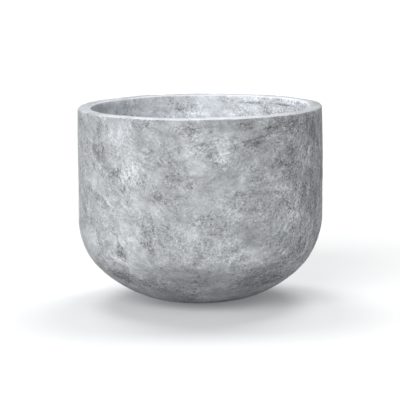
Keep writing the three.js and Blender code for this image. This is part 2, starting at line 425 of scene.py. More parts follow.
def inside_outline(shape, fittings):
    """Over the rim's inner edge, down the inside, which keeps the outside's centres, and through
    the drain recess to the foot of the drain hole."""
    upper, upper_centre, lower, lower_centre = rounded_part(shape)
    quarter, edge = math.pi / 2, shape.rim_round
    inner_floor = shape.bottom + shape.wall + shape.floor_extra
    inner_radius = shape.radius - shape.wall
    inner_upper, inner_lower = upper - shape.wall, lower - shape.wall
    floor_turn = math.asin((lower_centre[1] - inner_floor) / inner_lower)
    inner_edge = (inner_radius + edge, shape.top - edge)
    recess_radius, recess_floor = recess_size(fittings)
    hole = drain_hole_radius(fittings)
    floor_to_hole = [
        (lower_centre[0] + inner_lower * math.cos(floor_turn), inner_floor),
        (recess_radius, inner_floor),
        (recess_radius, recess_floor),
        (hole, recess_floor),
        (hole, shape.bottom),
    ]
    sides = zip(floor_to_hole, floor_to_hole[1:])
    return join_outline(
        arc(inner_edge, edge, quarter, 2 * quarter, EDGE_STEPS),
        line((inner_radius, inner_edge[1]), (inner_radius, upper_centre[1]), INSIDE_STEP),
        even_arc(upper_centre, inner_upper, 0, -shape.haunch, INSIDE_STEP),
        even_arc(lower_centre, inner_lower, -shape.haunch, -floor_turn, INSIDE_STEP),
        *(line(start, stop, INSIDE_STEP) for start, stop in sides),
    )


def uneven(points, outline, shape):
    """Moves each point along its normal by long undulations and short tool marks, and sinks the
    rim's two edges by their wear: height = sway * waves + tooling * waves - wear * nearness, where
    nearness is exp(-(distance to the edge / reach)^2). The rounded part also leans to one side, by
    x = x - lopsided * exp(-((z - middle) / spread)^2).

    The drain and the flat foot stay true, so that the cast-in pieces fit."""
    normals = turned_points(outline_normals(outline), points.shape[1])
    r, z = outline[:, 0], outline[:, 1]
    off_foot = np.clip(np.hypot(r - shape.foot_radius, z - shape.bottom) / GROWS_OVER, 0, 1)
    off_drain = np.clip((r - TRUE_DRAIN) / GROWS_OVER, 0, 1)
    freedom = (off_foot * off_drain)[:, None]
    height = freedom * shape.sway * waves(points, **SWAY_WAVES)
    height += freedom * shape.tooling * waves(points, **TOOLING_WAVES)
    worn = np.clip(waves(points, **WEAR_WAVES) - WORN_FROM, 0, WORN_MOST)
    for edge_radius in (shape.radius, shape.radius - shape.wall):
        away = np.hypot(r - edge_radius, z - shape.top) / (WEAR_REACH * shape.rim_round)
        height -= shape.edge_wear * np.exp(-(away**2))[:, None] * worn
    moved = points + normals * height[..., None]
    middle = shape.bottom + LEAN_MIDDLE * shape.curve_height
    away = (points[..., 2] - middle) / (LEAN_SPREAD * shape.curve_height)
    lean = shape.lopsided * np.exp(-(away**2))
    moved[..., 0] -= freedom * lean
    return moved


def circle(centre, radius, sides):
    """Points (x, y) of a level circle."""
    return arc(centre, radius, 0, 2 * math.pi, sides)[:-1]


def pad_centres():
    """Centre of each pad on the ground, from its solid."""
    boxes = [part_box(name) for name in PADS]
    return [((low.x + high.x) / 2, (low.y + high.y) / 2) for low, high in boxes]


def pad_radius():
    """Radius of each pad, from its solid."""
    return (PAD_HIGH.x - PAD_LOW.x) / 2


def within(triangles, centre, radius):
    """Which triangles have all corners on or in a circle. A hole is convex, so these fill it."""
    return (np.linalg.norm(triangles - centre, axis=2) < ON_CIRCLE * radius).all(axis=1)


def at_height(points, height):
    """Level points (x, y) with a height."""
    return np.column_stack([points, np.full(len(points), height)]).tolist()


def foot_surface(shape, fittings):
    """The flat foot as a triangulated disc with round holes for the drain and the pads, and for
    each pad a pocket: an upright wall and a flat top."""
    pocket_radius = pad_radius() + fittings.bond_gap
    holes = [((0.0, 0.0), drain_hole_radius(fittings), COLUMNS)]
    holes += [(centre, pocket_radius, POCKET_SIDES) for centre in pad_centres()]
    rings = [circle((0.0, 0.0), shape.foot_radius, COLUMNS)]
    rings += [circle(centre, radius, sides) for centre, radius, sides in holes]
    ends = np.cumsum([len(ring) for ring in rings]).tolist()
    loops = [list(range(end - len(ring), end)) for ring, end in zip(rings, ends)]
    flat = [Vector(point) for point in np.vstack(rings)]
    found, _, triangles, _, _, _ = delaunay_2d_cdt(flat, [], loops, WHOLE_DISC, SAME_POINT)
    found, triangles = np.array(found), np.array(triangles)
    for centre, radius, _ in holes:
        triangles = triangles[~within(found[triangles], centre, radius)]
    vertices, faces = at_height(found, shape.bottom), triangles.tolist()
    for centre in pad_centres():
        first = len(vertices)
        wall = circle(centre, pocket_radius, POCKET_SIDES)
        for height in (shape.bottom, PAD_HIGH.z + fittings.bond_gap):
            vertices += at_height(wall, height)
        faces += strip_faces(2, POCKET_SIDES, first)
        faces.append(list(range(first + POCKET_SIDES, first + 2 * POCKET_SIDES)))
    return vertices, faces


def build_bowl(shape, fittings, material):
    """The casting: a turned and roughened surface, closed below by the flat foot."""
    outside, inside = outside_outline(shape), inside_outline(shape, fittings)
    outline = join_outline(outside, inside)
    points = uneven(turned_points(outline, COLUMNS), outline, shape)
    foot_vertices, foot_faces = foot_surface(shape, fittings)
    vertices = points.reshape(-1, 3).tolist() + foot_vertices
    faces = strip_faces(len(outline), COLUMNS)
    faces += [[points[..., 0].size + i for i in face] for face in foot_faces]
    share_inside = np.zeros(len(vertices))
    share_inside[len(outside) * COLUMNS : points[..., 0].size] = 1.0
    return mesh_object("cast_bowl", vertices, faces, material, share_inside)


# ---- Drain and pads ----

FITTING_SIDES = 96
FITTING_STEP = 0.0015
GRIP_CORNER_STEPS = 12
GRIP_EDGE_ROWS = 5


def stem_radius_at(height, fittings):
    """The stem narrows evenly from under the plug's head down to its tip."""
    top = PLUG_HIGH.z - fittings.grip_height - fittings.head_thickness
    return fittings.stem_radius - fittings.stem_taper * (top - height) / (top - PLUG_LOW.z)


def build_sleeve(fittings, material):
    """A tube with a flange, its bore the stem's taper plus the seat gap."""
    tube = sleeve_radius(fittings)
    flange_bottom = SLEEVE_HIGH.z - fittings.flange_thickness
    corners = [
        (stem_radius_at(SLEEVE_LOW.z, fittings) + fittings.seat_gap, SLEEVE_LOW.z),
        (tube, SLEEVE_LOW.z),
        (tube, flange_bottom),
        (SLEEVE_HIGH.x, flange_bottom),
        (SLEEVE_HIGH.x, SLEEVE_HIGH.z),
        (stem_radius_at(SLEEVE_HIGH.z, fittings) + fittings.seat_gap, SLEEVE_HIGH.z),
    ]
    outline = rounded_outline(corners, fittings.edge_round, FITTING_STEP, closed=True)
    return turned_object("sleeve_tube", outline, FITTING_SIDES, material)


def grip_points(fittings):
    """The grip: the tab's side view is a rectangle with its upper corners rounded, and row t of
    the grid is that outline drawn in by the edge rounding * (1 - sin t) at
    y = +-(half the thickness - edge rounding * (1 - cos t))."""
    half, corner = fittings.grip_length / 2, fittings.grip_corner
    top = PLUG_HIGH.z
    root = top - fittings.grip_height - fittings.head_thickness / 2
    side = join_outline(
        line((-half, root), (half, root), FITTING_STEP),
        line((half, root), (half, top - corner), FITTING_STEP),
        arc((half - corner, top - corner), corner, 0, math.pi / 2, GRIP_CORNER_STEPS),
        arc((corner - half, top - corner), corner, math.pi / 2, math.pi, GRIP_CORNER_STEPS),
        line((-half, top - corner), (-half, root), FITTING_STEP),
    )[:-1]
    rounding = fittings.edge_round
    t = np.linspace(0, math.pi / 2, GRIP_EDGE_ROWS)
    inset = rounding * (1 - np.sin(t))
    offset = fittings.grip_thickness / 2 - rounding * (1 - np.cos(t))[::-1]
    inset = np.concatenate([inset, inset[::-1]])
    offset = np.concatenate([-offset[::-1], offset])
    normals = outline_normals(np.vstack([side, side[:1]]))[:-1]
    across, up = np.moveaxis(side - normals * inset[:, None, None], 2, 0)
    return np.dstack([across, 0 * across + offset[:, None], up])


def build_plug(fittings, material):
    """A turned stem and head, with the grip joined to it."""
    head_top = PLUG_HIGH.z - fittings.grip_height
    head_bottom = head_top - fittings.head_thickness
    corners = [
        (0.0, PLUG_LOW.z),
        (stem_radius_at(PLUG_LOW.z, fittings), PLUG_LOW.z),
        (fittings.stem_radius, head_bottom),
        (PLUG_HIGH.x, head_bottom),
        (PLUG_HIGH.x, head_top),
        (0.0, head_top),
    ]
    outline = rounded_outline(corners, fittings.edge_round, FITTING_STEP)
    plug = turned_object("rubber_plug", outline, FITTING_SIDES, material)
    points = grip_points(fittings)
    rows, around = points.shape[:2]
    ends = [list(range(around)), list(range((rows - 1) * around, rows * around))]
    unite(plug, mesh_object("grip", points, strip_faces(rows, around) + ends, material))
    return plug


def build_pad(name, centre, fittings, material):
    """A flat round pad with rounded edges."""
    low, high, radius = PAD_LOW.z, PAD_HIGH.z, pad_radius()
    corners = [(0.0, low), (radius, low), (radius, high), (0.0, high)]
    outline = rounded_outline(corners, fittings.edge_round, FITTING_STEP)
    return turned_object(name, outline, POCKET_SIDES, material, centre)


# ---- Shader building ----

FLOAT, VECTOR = "NodeSocketFloat", "NodeSocketVector"


def add(tree, kind, inputs=None, **settings):
    """A node of a kind, with its settings and its inputs, each a plain value or a wire."""
    node = tree.nodes.new(kind)
    for key, value in settings.items():
        setattr(node, key, value)
    for key, value in (inputs or {}).items():
        if isinstance(value, Wire):
            value.into(node.inputs[key])
        else:
            node.inputs[key].default_value = value
    return node


def wires(tree, kind, inputs=None, **settings):
    """All that a new node puts out, by name."""
    node = add(tree, kind, inputs, **settings)
    return {socket.name: Wire(tree, socket) for socket in node.outputs}


class Wire:
    """What a node puts out: a number, vector or colour that changes over the surface. Numbers are
    added, multiplied and so on as in a formula, each time by a Math node of the same tree."""

    def __init__(self, tree, socket):
        self.tree, self.socket = tree, socket

    def into(self, socket):
        """Links this wire to a socket of another node."""
        self.tree.links.new(self.socket, socket)

    def node(self, kind, inputs, output=0, **settings):
        """One output of a new node."""
        return Wire(self.tree, add(self.tree, kind, inputs, **settings).outputs[output])

    def maths(self, operation, *values):
        """What a Math node makes of some numbers."""
        return self.node("ShaderNodeMath", dict(enumerate(values)), operation=operation)

    def __add__(self, other):
        return self.maths("ADD", self, other)

    def __sub__(self, other):
        return self.maths("SUBTRACT", self, other)

    def __rsub__(self, other):
        return self.maths("SUBTRACT", other, self)

    def __mul__(self, other):
        return self.maths("MULTIPLY", self, other)

    def __truediv__(self, other):
        return self.maths("DIVIDE", self, other)

    def __rtruediv__(self, other):
        return self.maths("DIVIDE", other, self)

    def __abs__(self):
        return self.maths("ABSOLUTE", self)

    __radd__, __rmul__ = __add__, __mul__

    def most(self, other):
        """The larger of two numbers."""
        return self.maths("MAXIMUM", self, other)

    def ramp(self, low, high, start=0.0, stop=1.0):
        """This number eased from start, where it is low, to stop, where it is high."""
        inputs = {0: self, 1: low, 2: high, 3: start, 4: stop}
        return self.node("ShaderNodeMapRange", inputs, interpolation_type="SMOOTHSTEP")

    def either(self, first, second):
        """A number that is first where this one is 0, and second where it is 1."""
        return self.node("ShaderNodeMix", {0: self, 2: first, 3: second}, data_type="FLOAT")

    def blend(self, first, second):
        """A colour that is first where this number is 0, and second where it is 1."""
        return self.node("ShaderNodeMix", {0: self, 6: first, 7: second}, 2, data_type="RGBA")

    def toned(self, tone):
        """This colour times a number."""
        inputs = {0: 1.0, 6: self, 7: tone}
        return self.node("ShaderNodeMix", inputs, 2, data_type="RGBA", blend_type="MULTIPLY")

    def vector_maths(self, operation, *others, output="Vector"):
        """The vector, or the plain Value, of a Vector Math node on this vector and others."""
        inputs = dict(enumerate((self, *others)))
        return self.node("ShaderNodeVectorMath", inputs, output, operation=operation)

    def length(self):
        return self.vector_maths("LENGTH", output="Value")

    def dot(self, other):
        return self.vector_maths("DOT_PRODUCT", other, output="Value")

    def parts(self):
        """The three numbers of this vector."""
        return wires(self.tree, "ShaderNodeSeparateXYZ", {0: self}).values()

    def noise(self, scale, detail, roughness=0.5, distortion=0.0):
        """Fractal noise at this place, between 0 and 1 and centred near 0.5."""
        names = ("Vector", "Scale", "Detail", "Roughness", "Distortion")
        inputs = dict(zip(names, (self, scale, detail, roughness, distortion)))
        return self.node("ShaderNodeTexNoise", inputs, "Fac")

    def cells(self, scale):
        """Cells round scattered points: the Distance to the nearest, its Position and a Color."""
        return wires(self.tree, "ShaderNodeTexVoronoi", {"Vector": self, "Scale": scale})

    def effect(self, name, **inputs):
        """A shared effect at this place, with its own values, _ standing for a space in their
        names. Returns all that it puts out, by name."""
        values = {key.replace("_", " "): value for key, value in inputs.items()}
        inputs = {"Vector": self, **values}
        return wires(self.tree, "ShaderNodeGroup", inputs, node_tree=effect_group(name))


def combine(x, y, z=0.0):
    """A vector from its numbers."""
    return x.node("ShaderNodeCombineXYZ", {0: x, 1: y, 2: z})


# ---- Effects that several materials share ----
#
# Each takes its group's inputs as wires, in their order, and returns what the group puts out.


def clouds(place, size, detail, roughness, low, high, shift):
    """Soft clouds: fractal noise of a given size, eased between two levels. Shift moves the
    pattern, so that two uses differ."""
    moved = place.vector_maths("ADD", shift)
    return {"Mask": moved.noise(1.0 / size, detail, roughness, distortion=0.2).ramp(low, high)}


def brush_strokes(place, around, up, patch, wide, long, angle, spread, bend, shift):
    """Strokes of a brush, laid in patches that each have a direction of their own.

    Space is cut into cells. In each, a point's way off the cell's middle is taken along the two
    directions of the surface, around and up, turned by the angle and by a random share of the
    spread, and bent to a parabola. Noise drawn out along it, long by wide, gives the strokes as a
    number about 0. Cover is 1 in the middle of a patch and fades out towards its edge."""
    moved = place.vector_maths("ADD", shift)
    cells = moved.cells(1.0 / patch)
    separated = wires(place.tree, "ShaderNodeSeparateColor", {0: cells["Color"]})
    random_turn, random_bend, random_place = separated.values()
    off = moved.vector_maths("SUBTRACT", cells["Position"])
    turn = angle + (random_turn * 2.0 - 1.0) * spread
    inputs = {"Vector": combine(off.dot(around), off.dot(up)), "Angle": turn * -1.0}
    turned = place.node("ShaderNodeVectorRotate", inputs, rotation_type="Z_AXIS")
    along, across, _ = turned.parts()
    bent = across + along * along * ((random_bend - 0.5) * bend)
    drawn = combine(along / long, bent / wide, random_place * 40.0)
    return {
        "Stroke": drawn.noise(scale=1.0, detail=3.0, roughness=0.65) - 0.5,
        "Cover": cells["Distance"].ramp(0.45, 0.85, start=1.0, stop=0.0),
    }


def curled_strokes(place, size, width, shift):
    """Curled strokes: thin lines where a swirled noise passes through its middle value."""
    moved = place.vector_maths("ADD", shift)
    swirl = moved.noise(1.0 / size, detail=2.0, roughness=0.6, distortion=1.6)
    return {"Line": abs(swirl - 0.5).ramp(0.0, width, start=1.0, stop=0.0)}


def fine_grain(place, size, pit_size):
    """Fine grain, as a number about 0, and a few pits, each in a cell of twice the grain's size."""
    scale = 1.0 / size
    pit = place.cells(scale * 0.5)["Distance"].ramp(0.0, pit_size, start=1.0, stop=0.0)
    few = place.noise(scale=45.0, detail=2.0).ramp(0.50, 0.64)
    return {"Grain": place.noise(scale, detail=2.0, roughness=0.8) - 0.5, "Pit": pit * few}


def edge_wear(place, radius, height, reach, broken):
    """A band along a round edge: how near a point is to a level circle about the axis, broken up."""
    x, y, z = place.parts()
    away = combine(combine(x, y).length() - radius, z - height).length()
    ragged = place.noise(scale=60.0, detail=3.0, roughness=0.6) - 0.5
    return {"Mask": (away / reach + ragged * broken).ramp(0.35, 1.0, start=1.0, stop=0.0)}


def soft_patch(place, centre, span, ragged, broken):
    """A soft patch round a point of the surface, its outline broken up by a noise about 0."""
    away = place.vector_maths("SUBTRACT", centre).vector_maths("DIVIDE", span).length()
    return {"Mask": (away + ragged * broken).ramp(0.2, 1.4, start=1.0, stop=0.0)}


# The inputs are numbers, each with its default, or vectors, where that is None
EFFECTS = {
    "Clouds": (clouds, {
        "Vector": None, "Size": 0.1, "Detail": 4.0, "Roughness": 0.55, "Low": 0.4, "High": 0.6,
        "Shift": 0.0,
    }),
    "Brush Strokes": (brush_strokes, {
        "Vector": None, "Around": None, "Up": None, "Patch": 0.05, "Width": 0.002,
        "Length": 0.02, "Angle": 0.0, "Spread": 0.6, "Bend": 8.0, "Shift": 0.0,
    }),
    "Curled Strokes": (
        curled_strokes, {"Vector": None, "Size": 0.016, "Width": 0.035, "Shift": 0.0}
    ),
    "Fine Grain": (fine_grain, {"Vector": None, "Size": 0.004, "Pit Size": 0.3}),
    "Edge Band": (
        edge_wear, {"Vector": None, "Radius": 0.25, "Height": 0.4, "Reach": 0.006, "Break": 0.5}
    ),
    "Soft Patch": (
        soft_patch, {"Vector": None, "Centre": None, "Span": None, "Broken": 0.0, "Break": 1.9}
    ),
}


def effect_group(name):
    """A shared effect's node group, built the first time that it is asked for."""
    if name in bpy.data.node_groups:
        return bpy.data.node_groups[name]
    wiring, inputs = EFFECTS[name]
    tree = bpy.data.node_groups.new(name, "ShaderNodeTree")
    for socket, default in inputs.items():
        kind = VECTOR if default is None else FLOAT
        made = tree.interface.new_socket(socket, in_out="INPUT", socket_type=kind)
        if default is not None:
            made.default_value = default
    given = wires(tree, "NodeGroupInput")
    results = wiring(*(given[socket] for socket in inputs))
    for socket in results:
        tree.interface.new_socket(socket, in_out="OUTPUT", socket_type=FLOAT)
    add(tree, "NodeGroupOutput", results)
    return tree


# ---- Materials ----


def new_material(name):
    """A material with only a Principled BSDF and its output. Returns (material, tree, shader)."""
    material = bpy.data.materials.new(name)
    material.use_nodes = True
    tree = material.node_tree
    tree.nodes.clear()
    shader = tree.nodes.new("ShaderNodeBsdfPrincipled")
    output = tree.nodes.new("ShaderNodeOutputMaterial")
    tree.links.new(shader.outputs[0], output.inputs["Surface"])
    return material, tree, shader


def object_place(tree):
    """The point's place in the piece's own coordinates."""
    return wires(tree, "ShaderNodeTexCoord")["Object"]


def rgba(value):
    """A colour property as the four numbers that a socket takes."""
    return (*value, 1.0)


def set_bump(shader, height, strength):
    """Joins a height in metres to the shader's normal."""
    inputs = {"Strength": strength, "Distance": 1.0, "Height": height}
    height.node("ShaderNodeBump", inputs).into(shader.inputs["Normal"])


def fitting_material(name, base, roughness, dust):
    """Moulded rubber or plastic: a fine grain, with cement dust in soft patches."""
    material, tree, shader = new_material(name)
    place = object_place(tree)
    grain = place.effect("Fine Grain", Size=0.0008, Pit_Size=0.1)["Grain"]
    film = place.effect("Clouds", Size=0.012, Low=0.45, High=0.75)["Mask"]
    dusty = (film * 0.35).blend(rgba(base), rgba(dust))
    dusty.toned(grain * 0.4 + 1.0).into(shader.inputs["Base Color"])
    film.ramp(0.0, 1.0, roughness, roughness + 0.2).into(shader.inputs["Roughness"])
    set_bump(shader, grain * 0.00008, 0.6)
    return material


def seen_directly(tree):
    """1 for what the camera sees, straight or in a reflection or through glass, and 0 for light."""
    path = wires(tree, "ShaderNodeLightPath")
    return path["Is Camera Ray"].most(path["Is Glossy Ray"]).most(path["Is Transmission Ray"])


def floor_material(look):
    """A pale floor that keeps the shadow. It looks paler than the light that it gives back."""
    material, tree, shader = new_material("pale_floor")
    seen = seen_directly(tree)
    looks, gives = (rgba((grey, grey, grey)) for grey in (look.floor, look.floor_bounce))
    seen.blend(gives, looks).into(shader.inputs["Base Color"])
    shader.inputs["Roughness"].default_value = 1.0
    shader.inputs["Specular IOR Level"].default_value = 0.0
    shader.inputs["Emission Color"].default_value = (0.94, 0.97, 1.0, 1.0)
    (seen * look.floor_glow).into(shader.inputs["Emission Strength"])
    return material


# ---- The concrete ----

# Where the finish changes over the casting, in metres, each from where a change starts to where it
# is complete. x grows to the viewer's right, y away from the viewer and z up.
LEFT_EDGE_X = (-0.25, -0.13)
LEFT_X = (-0.14, -0.05)
LEANING_X = (-0.16, 0.06)
PAST_MIDDLE_X = (-0.02, 0.04)
EVEN_X = (0.06, 0.19)
RIGHT_EDGE_X = (0.08, 0.23)
RIGHT_X = (0.12, 0.19)
UPRIGHT_X = (0.165, 0.205)
FAR_RIGHT_X = (0.19, 0.25)
FRONT_Y = (-0.05, -0.20)
BACK_Y = (-0.02, 0.12)
BASE_Z = (0.125, 0.085)
UNDER_RIM_Z = (0.325, 0.355)
RIM_DEPTHS = (0.003, 0.0008)  # the same, as depths below the rim's top

LEANING, LEANING_BACK, NEARLY_LEVEL, UPRIGHT = (math.radians(a) for a in (-52, 25, 4, 88))
# Layers of strokes, each: patch, width and length as shares of the look's own; how far directions
# spread where the strokes lie freely and where they lie level; bend; shift
STROKE_LAYERS = (
    (1.0, 1.0, 1.0, 0.7, 0.15, 8.0, 0.0),
    (0.7, 0.7, 0.5, 1.2, 0.20, 30.0, 5.0),
    (2.0, 3.0, 2.5, 0.5, 0.10, 3.0, 9.0),
)
EDGE_INSET = 0.0010  # from the rim's faces in to the middle of its washed edges
MARK_HEIGHT, GRAIN_HEIGHT, PIT_DEPTH = 0.00030, 0.00040, 0.0006

# Patches that stand out, listed one by one, each (azimuth in degrees, 0 at the front and growing
# towards the viewer's right; height; half width; half height; strength), in metres. The pale
# patches that lie inside, just under the rim, are partly painted light, the dark ones there are
# painted shade, and the others lie outside.
PALE_PATCHES = (
    (-42, 0.36, 0.036, 0.030, 0.28),
    (-36, 0.30, 0.038, 0.040, 0.25),
    (-19, 0.220, 0.026, 0.018, 0.30),
    (7, 0.34, 0.050, 0.032, 0.45),
    (17, 0.34, 0.018, 0.030, 0.30),
    (2, 0.31, 0.030, 0.020, 0.25),
    (-2, 0.20, 0.008, 0.070, 0.25),
    (40, 0.24, 0.030, 0.030, 0.25),
    (45, 0.195, 0.040, 0.030, 0.40),
    (26, 0.124, 0.070, 0.020, 0.80),
    (2, 0.112, 0.060, 0.012, 0.20),
    (-34, 0.150, 0.040, 0.026, 0.50),
    (-43, 0.116, 0.036, 0.014, 0.50),
    (-62, 0.14, 0.040, 0.030, 0.35),
)
# Partly painted light: the top of the inner wall at the back right, where the light falls, is made
# paler.
WASH_AND_LIGHT_PATCHES = (
    (106, 0.394, 0.050, 0.010, 0.9),
    (126, 0.396, 0.060, 0.009, 1.0),
    (150, 0.396, 0.060, 0.007, 0.9),
    (172, 0.397, 0.050, 0.006, 0.8),
    (160, 0.362, 0.050, 0.008, 0.8),
    (182, 0.358, 0.050, 0.010, 0.8),
    (196, 0.357, 0.050, 0.010, 0.9),
)
# Painted shade: a dark line under the rim inside at the back right, where the rim's shadow falls, and
# a shaded corner inside at the back left.
INSIDE_SHADE_PATCHES = (
    (128, 0.386, 0.034, 0.003, 0.7),
    (150, 0.385, 0.030, 0.003, 0.7),
    (-118, 0.388, 0.030, 0.008, 0.35),
    (-140, 0.380, 0.026, 0.008, 0.25),
)
DARK_PATCHES = (
    (-72, 0.27, 0.050, 0.110, 0.40),
    (-74, 0.375, 0.030, 0.022, 0.50),
    (-53, 0.33, 0.026, 0.022, 0.65),
    (-26, 0.385, 0.020, 0.010, 0.60),
    (-27, 0.275, 0.022, 0.018, 0.40),
    (-42, 0.205, 0.034, 0.026, 0.30),
    (-5, 0.380, 0.034, 0.016, 0.90),
    (-13, 0.28, 0.026, 0.022, 0.50),
    (-4, 0.275, 0.016, 0.016, 0.45),
    (21, 0.384, 0.020, 0.010, 1.00),
    (25, 0.352, 0.030, 0.010, 1.00),
    (45, 0.378, 0.042, 0.018, 1.00),
    (10, 0.182, 0.050, 0.020, 0.45),
    (62, 0.372, 0.036, 0.026, 0.90),
    (45, 0.31, 0.022, 0.045, 0.50),
    (18, 0.243, 0.022, 0.018, 0.50),
    (3, 0.195, 0.044, 0.022, 0.50),
    (-20, 0.180, 0.032, 0.020, 0.40),
    (36, 0.205, 0.020, 0.018, 0.35),
    (27, 0.28, 0.024, 0.016, 0.40),
    # Painted shade: the rounded base darker low on its right, which is turned from the light.
    (34, 0.07, 0.070, 0.030, 0.75),
    (-2, 0.072, 0.060, 0.012, 0.25),
    (-50, 0.072, 0.040, 0.020, 1.60),
    (-36, 0.066, 0.030, 0.014, 0.80),
    (-22, 0.05, 0.050, 0.016, 0.35),
)


def outside_radius(height, shape):
    """Radius of the outside at a height, from the wall or from the two arcs of the rounded part."""
    upper, upper_centre, lower, lower_centre = rounded_part(shape)
    if height >= upper_centre[1]:
        return shape.radius
    if height >= upper_centre[1] - upper * math.sin(shape.haunch):
        return upper_centre[0] + math.sqrt(upper**2 - (height - upper_centre[1]) ** 2)
    return lower_centre[0] + math.sqrt(lower**2 - (height - lower_centre[1]) ** 2)


class ConcreteFinish:
    """The colour of the cast concrete, laid on in steps, and the masks that say where.

    Each lay_ method lays its colours over what the ones before it have left."""

    def __init__(self, tree, shape, look):
        self.shape, self.look = shape, look
        self.place = object_place(tree)
        self.x, self.y, self.z = self.place.parts()
        self.normal = wires(tree, "ShaderNodeTexCoord")["Normal"]
        self.inside = wires(tree, "ShaderNodeAttribute", attribute_name="inside")["Fac"]
        self.outside = 1.0 - self.inside
        self.on_rim = self.z.ramp(*(shape.top - depth for depth in RIM_DEPTHS))
        self.on_face = 1.0 - self.on_rim * 0.75
        self.to_right = self.x.ramp(*RIGHT_X)

    def clouds(self, **inputs):
        """A mask of soft clouds all over the casting."""
        return self.place.effect("Clouds", **inputs)["Mask"]

    def along_edge(self, radius, **inputs):
        """A mask along a round edge of the rim."""
        edge = self.place.effect("Edge Band", Radius=radius, Height=self.shape.top, **inputs)
        return edge["Mask"]

    def patches(self, wanted, depth=0.0):
        """The strongest of several soft patches on a surface that lies depth inside the outside."""
        total = 0.0
        ragged = self.place.noise(scale=42.0, detail=6.0, roughness=0.75) - 0.5
        for azimuth, height, half_width, half_height, strength in wanted:
            a = math.radians(azimuth)
            radius = outside_radius(height, self.shape) - depth
            centre = (radius * math.sin(a), -radius * math.cos(a), height)
            span = (half_width, half_width, half_height)
            patch = self.place.effect("Soft Patch", Centre=centre, Span=span, Broken=ragged)
            total = (patch["Mask"] * strength).most(total)
        return total

    def lay(self, colour, share):
        """Lays a colour over the present one, which it hides by a share."""
        self.colour = share.blend(self.colour, rgba(colour))

    def lay_clouds(self):
        """Pale clouds over the middle cement, and dark blotches, some strewn and some placed. One of
        the placed ones is painted shade, low on the base's right.
        """
        look = self.look
        pale = self.clouds(Size=look.cloud_size, Low=0.36, High=0.64)
        self.colour = pale.blend(rgba(look.middle), rgba(look.pale))
        self.lay(look.wash_and_light, self.patches(PALE_PATCHES) * self.outside)
        flattened = self.place.vector_maths("MULTIPLY", (1.0, 1.0, 2.4))
        broken = flattened.effect(
            "Clouds", Size=0.011, Detail=5.0, Roughness=0.85, Low=0.43, High=0.55, Shift=2.7
        )["Mask"]
        strewn = self.clouds(
            Size=look.blotch_size, Detail=6.0, Roughness=0.7, Low=0.50, High=0.68, Shift=3.1
        )
        placed = self.patches(DARK_PATCHES) * self.outside
        self.dark = (strewn * look.blotches).most(placed)
        self.lay(look.dark, self.dark * (broken * 0.85 + 0.15))

    def lay_washes(self):
        """Paler inside, partly as painted light; pale edges along the rim, partly wear and partly
        painted highlight, and a paler front of the rim; pale patches at the top of the inner wall at
        the back right, partly painted light; painted shade under the rim inside at the back right and
        in a corner at the back left; the rim's outer edge darker along its far side; and painted
        shade on the rim's right side."""
        shape, look = self.shape, self.look
        streaks = self.clouds(Size=0.05, Detail=3.0, Low=0.30, High=0.62, Shift=8.3)
        # Paler inside: partly a pale coat, partly painted light.
        self.lay(look.wash_and_light, self.inside * look.inside_wash_and_light * (streaks * 0.5 + 0.5))
        middle = self.x.ramp(*LEFT_EDGE_X, 0.1, 1.0) * self.x.ramp(*RIGHT_EDGE_X, 1.0, 0.2)
        # Pale edges along the rim, fading towards both sides: partly wear, partly painted highlight.
        for radius in (shape.radius - EDGE_INSET, shape.radius - shape.wall + EDGE_INSET):
            edge = self.along_edge(radius, Reach=0.0027, Break=1.6)
            self.lay(look.wash_and_light, edge * middle * look.edge_wash_and_highlight)
        half_way = shape.radius - shape.wall / 2
        inner_half = combine(self.x, self.y).length().ramp(half_way, half_way - 0.006)
        # Pale patches at the top of the inner wall at the back right: partly a pale coat, partly
        # painted light.
        washed = self.patches(WASH_AND_LIGHT_PATCHES, shape.wall)
        self.lay(look.wash_and_light, washed * self.inside.most(self.on_rim) * inner_half)
        # Painted shade: a dark line under the rim inside at the back right and a shaded corner at the
        # back left.
        self.lay(look.dark, self.patches(INSIDE_SHADE_PATCHES, shape.wall) * self.inside)
        self.lay(look.wash_and_light, self.on_rim * self.y.ramp(*FRONT_Y) * middle * look.rim_wash)
        # The rim's outer edge darker along its far side.
        rim_darkening = self.along_edge(shape.radius - 0.002, Reach=0.009, Break=0.6)
        self.lay(look.dark, rim_darkening * self.on_rim * self.y.ramp(*BACK_Y) * look.rim_darkening)
        # Painted shade: the rim darker on its right side.
        self.lay(look.dark, self.on_rim * self.x.ramp(*FAR_RIGHT_X) * (0.4 * look.rim_darkening))

    def stroke_directions(self, on_base, under_rim):
        """The surface's two directions, round its axis and up its outline, which is the normal
        crossed with the first, and the angle of the strokes from the first. They lean to the left
        of the front, stand upright to its right, and lie level on the rounded base, inside, and
        nearly so under the rim right of the middle."""
        around = combine(self.y * -1.0, self.x).vector_maths("NORMALIZE")
        up = self.normal.vector_maths("CROSS_PRODUCT", around)
        angle = self.x.ramp(*LEANING_X, LEANING, LEANING_BACK)
        angle = under_rim.either(angle, NEARLY_LEVEL)
        angle = self.x.ramp(*UPRIGHT_X).either(angle, UPRIGHT)
        angle = self.inside.most(on_base).either(angle, 0.0)
        return {"Around": around, "Up": up, "Angle": angle}

